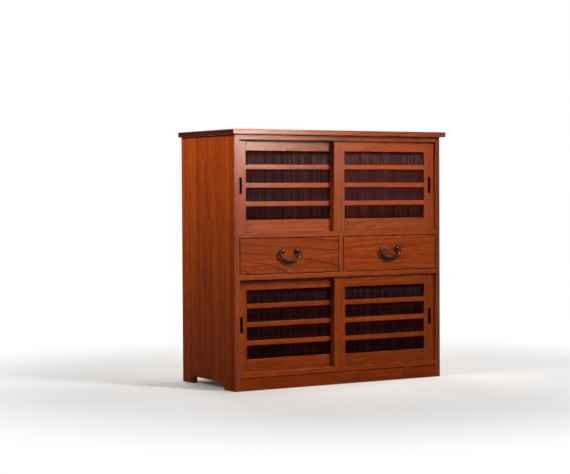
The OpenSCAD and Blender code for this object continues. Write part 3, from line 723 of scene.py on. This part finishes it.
def bail_ring(t, side, pivot):
    """Points round the bar at t, thicker towards its middle and dented by the hammer."""
    centre, way = bail_point(t), bail_direction(t)
    out, deep = Vector((-way.z, 0, way.x)), Vector((0, 1, 0))
    swell = math.sin(math.pi / 2 * t) ** 2
    half_height = BAIL_END + (BAIL_MIDDLE_HEIGHT - BAIL_END) * swell
    half_depth = BAIL_END + (BAIL_MIDDLE_DEPTH - BAIL_END) * swell
    points = []
    for cos, sin in circle(BAIL_SIDES):
        spot = centre + half_height * cos * out - half_depth * sin * deep
        spot.x *= side
        dent = noise.noise((pivot + spot) * DENT_WAVES) * DENT_DEPTH * min(1.0, 4 * t)
        away = Vector((spot.x - side * centre.x, spot.y, spot.z - centre.z)).normalized()
        points.append(pivot + spot + away * (dent - DENT_SETBACK))
    return points


def bail(drawer, material):
    """Forged bail: a swept bar with uneven hammered faces between its two pins."""
    pivot = BAIL_PIVOTS[drawer]
    stops = [n / BAIL_STEPS for n in range(BAIL_STEPS + 1)]
    path = [(t, 1) for t in stops] + [(t, -1) for t in reversed(stops[:-1])]
    points = []
    for t, side in path:
        points += bail_ring(t, side, pivot)
    faces = tube_faces(len(path), BAIL_SIDES)
    for side in (1, -1):
        start = len(points)
        for reach in (PIN_START, BAIL_HALF + PIN_OVERLAP):
            points += [pivot + Vector((side * reach, PIN_RADIUS * cos, side * PIN_RADIUS * sin))
                       for cos, sin in circle(BAIL_SIDES)]
        faces += tube_faces(2, BAIL_SIDES, start)
    body = drawer.replace("drawer", "bail")
    piece = add_piece(drawer + "_forged_bail", points, faces, material, body)
    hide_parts(drawer + "_bail")


def build_bails():
    """Bails of the two drawers."""
    iron = iron_material("iron", 1.4, srgb(30, 23, 20), srgb(96, 74, 62), 0.22)
    for drawer in DRAWERS:
        bail(drawer, iron)


# Studio
FLOOR_RADIUS, FLOOR_CORE = 40.0, 0.2
FLOOR_RINGS, FLOOR_SIDES = 24, 64
FADE_START, FADE_END = 0.25, 1.9


def seen_directly(graph):
    """1 for rays from the camera, in reflections and through glass, and 0 for diffuse light."""
    rays = graph.add("LightPath").outputs
    seen = graph.math("ADD", rays["Is Camera Ray"], rays["Is Glossy Ray"])
    return graph.math("ADD", seen, rays["Is Transmission Ray"], clamp=True)


def floor_material():
    """Pale floor that keeps the shadow of the chest and fades to white away from it."""
    graph = Graph(bpy.data.materials.new("pale_floor"))
    place = graph.add("TexCoord").outputs["Object"]
    distance = graph.add("VectorMath", {0: place}, operation="LENGTH").outputs["Value"]
    cloud = graph.noise(place, (1.3, 1.3, 1.3), 4.0)
    colour = graph.mix(cloud, srgb(236, 234, 231), srgb(244, 242, 239))
    colour = graph.mix(seen_directly(graph), srgb(120, 112, 104), colour)
    matte = graph.add("BsdfPrincipled", {
        "Base Color": colour, "Roughness": 0.8, "Specular IOR Level": 0.2,
    })
    white = graph.add("Emission", {"Color": WHITE, "Strength": 1.0})
    fade = graph.steps(distance, FADE_START, FADE_END)
    fade = graph.math("MULTIPLY", fade, seen_directly(graph))
    shown = graph.add("MixShader", {0: fade, 1: matte.outputs[0], 2: white.outputs[0]})
    graph.add("OutputMaterial", {"Surface": shown.outputs[0]})
    return graph.owner


def floor():
    """Round floor, with rings that widen towards its rim."""
    points = [(0.0, 0.0, 0.0)]
    for i in range(1, FLOOR_RINGS + 1):
        part = i / FLOOR_RINGS
        radius = FLOOR_RADIUS * part ** 3 + FLOOR_CORE * part
        points += [(radius * cos, radius * sin, 0.0) for cos, sin in circle(FLOOR_SIDES)]
    faces = [(0, 1 + k, 1 + (k + 1) % FLOOR_SIDES) for k in range(FLOOR_SIDES)]
    for i in range(FLOOR_RINGS - 1):
        for k in range(FLOOR_SIDES):
            a, b = 1 + i * FLOOR_SIDES + k, 1 + i * FLOOR_SIDES + (k + 1) % FLOOR_SIDES
            faces.append((a, a + FLOOR_SIDES, b + FLOOR_SIDES, b))
    mesh = bpy.data.meshes.new("floor")
    mesh.from_pydata(points, [], faces)
    mesh.materials.append(floor_material())
    piece = bpy.data.objects.new("floor", mesh)
    bpy.context.scene.collection.objects.link(piece)


def world_light(ambient):
    """White surroundings that light the object softly."""
    world = bpy.data.worlds.new("studio")
    bpy.context.scene.world = world
    graph = Graph(world)
    strength = graph.steps(seen_directly(graph), 0.0, 1.0, ambient, 1.0)
    back = graph.add("Background", {"Color": WHITE, "Strength": strength})
    graph.add("OutputWorld", {"Surface": back.outputs[0]})


def softbox(name, place, target, size, power, spread, sheen=False):
    """Lamp turned to a target, its light narrowed by a grid, for matte light or for sheen."""
    lamp = bpy.data.lights.new(name, "AREA")
    lamp.shape = "RECTANGLE"
    lamp.size, lamp.size_y = size
    lamp.energy = power
    lamp.spread = math.radians(spread)
    box = bpy.data.objects.new(name, lamp)
    box.location = place
    box.rotation_euler = (Vector(target) - Vector(place)).to_track_quat("-Z", "Y").to_euler()
    box.visible_camera = False
    box.visible_diffuse = not sheen
    box.visible_glossy = sheen
    bpy.context.scene.collection.objects.link(box)


def lights():
    """Tall key at the right front, two lamps for sheen before the chest, and three fills."""
    world_light(0.1)
    softbox("key", place=(0.95, -2.7, 2.35), target=(-0.3, -0.2, 1.32), size=(0.6, 1.9),
            power=23.0, spread=64)
    softbox("sheen", place=(0.74, -2.4, 1.27), target=(-0.3, -0.2, 0.98), size=(0.45, 0.45),
            power=7.8, spread=60, sheen=True)
    softbox("glint", place=(-0.82, -1.57, 2.4), target=(0.0, -0.2, 0.5), size=(0.7, 0.7),
            power=44.0, spread=60, sheen=True)
    softbox("left_fill", place=(-2.3, -0.24, 1.9), target=(-0.4, 0.0, 1.15), size=(0.7, 0.7),
            power=8.0, spread=60)
    softbox("right_fill", place=(2.6, 0.1, 1.7), target=(0.4, 0.0, 0.7), size=(0.9, 0.9),
            power=8.5, spread=70)
    softbox("back_fill", place=(0.5, 3.0, 1.6), target=(0.0, 0.2, 0.6), size=(1.4, 1.4),
            power=19.0, spread=90)


# Place, angles in degrees and lens, fitted to the edges of the chest in the photograph
CAMERA_PLACE = (-3.3189, -5.2954, 0.7253)
YAW, PITCH, ROLL = 31.073, 1.647, 0.293
LENS, SENSOR = 103.086, 36.0


def camera():
    """Camera of the photograph, which looks to the right and slightly down."""
    yaw, pitch, roll = (math.radians(angle) for angle in (YAW, PITCH, ROLL))
    forward = Vector((math.sin(yaw) * math.cos(pitch), math.cos(yaw) * math.cos(pitch),
                      -math.sin(pitch)))
    level = Vector((math.cos(yaw), -math.sin(yaw), 0.0))
    down = forward.cross(level)
    right = math.cos(roll) * level + math.sin(roll) * down
    up = math.sin(roll) * level - math.cos(roll) * down
    turn = Matrix((right, up, -forward)).transposed().to_4x4()
    lens = bpy.data.cameras.new("camera")
    lens.sensor_width = SENSOR
    lens.lens = LENS
    view = bpy.data.objects.new("camera", lens)
    view.matrix_world = Matrix.Translation(CAMERA_PLACE) @ turn
    bpy.context.scene.collection.objects.link(view)
    bpy.context.scene.camera = view


camera()
lights()
floor()
dress_case()
dress_doors()
dress_drawers()
build_screens()
build_bails()

bpy.context.scene.view_settings.view_transform = "Standard"
bpy.context.view_layer.update()
